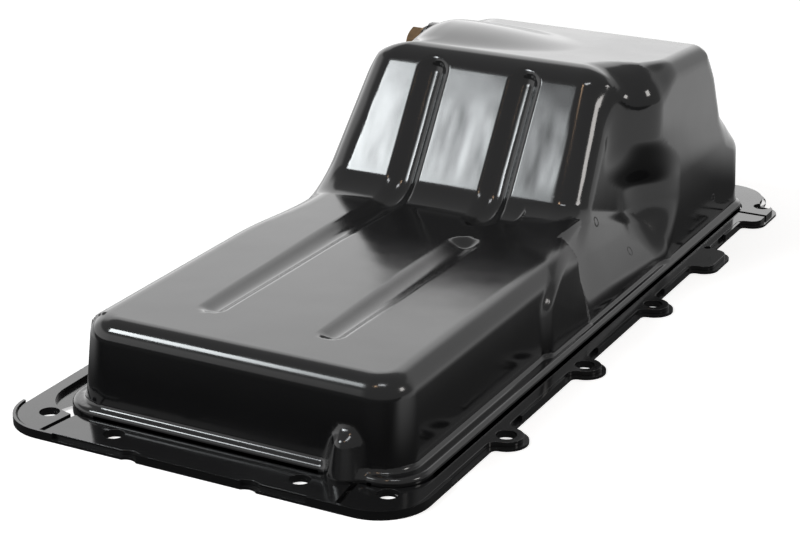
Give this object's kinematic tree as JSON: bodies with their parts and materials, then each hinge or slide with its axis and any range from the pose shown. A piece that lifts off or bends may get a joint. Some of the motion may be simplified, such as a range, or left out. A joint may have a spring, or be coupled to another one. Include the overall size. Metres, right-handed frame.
{
  "type": "engine oil pan",
  "caption": "Drawn sheet-steel oil pan with a shallow front, a deep rear sump, stiffened gasket flange and side drain plug.",
  "frame": {"origin": "centre of the bounding box in plan, on the gasket face of the flange", "axes": "+Z from the gasket face towards the sump floor, +Y towards the deep sump end, +X across the pan, away from the drain plug"},
  "size_m": [0.2712, 0.545, 0.1385],
  "materials": {
    "black_coat": "gloss black electrophoretic coat",
    "plug_steel": "yellow-brown passivated steel",
    "seal": "matte"
  },
  "bodies": {
    "pan": {"pan_shell": "black_coat", "front_plate": "black_coat", "left_rail_plate": "black_coat", "right_rail_plate": "black_coat", "rear_plate": "black_coat", "drain_nut": "black_coat", "oil_baffle": "black_coat"},
    "gasket": {"drain_plug_gasket": "seal"},
    "plug": {"drain_plug": "plug_steel"}
  },
  "joints": [
    {"name": "plug_travel", "type": "slide", "parent": "pan", "child": "gasket", "axis": [-1, 0, 0], "range_m": [0, 0.00925]},
    {"name": "plug_turn", "type": "hinge", "parent": "gasket", "child": "plug", "pos_m": [-0.0877, 0.1605, 0.1065], "axis": [-1, 0, 0], "range_deg": [0, 2160]}
  ],
  "couplings": [
    {"joint": "plug_travel", "follows": "plug_turn", "m_per_rad": 0.00023873}
  ]
}
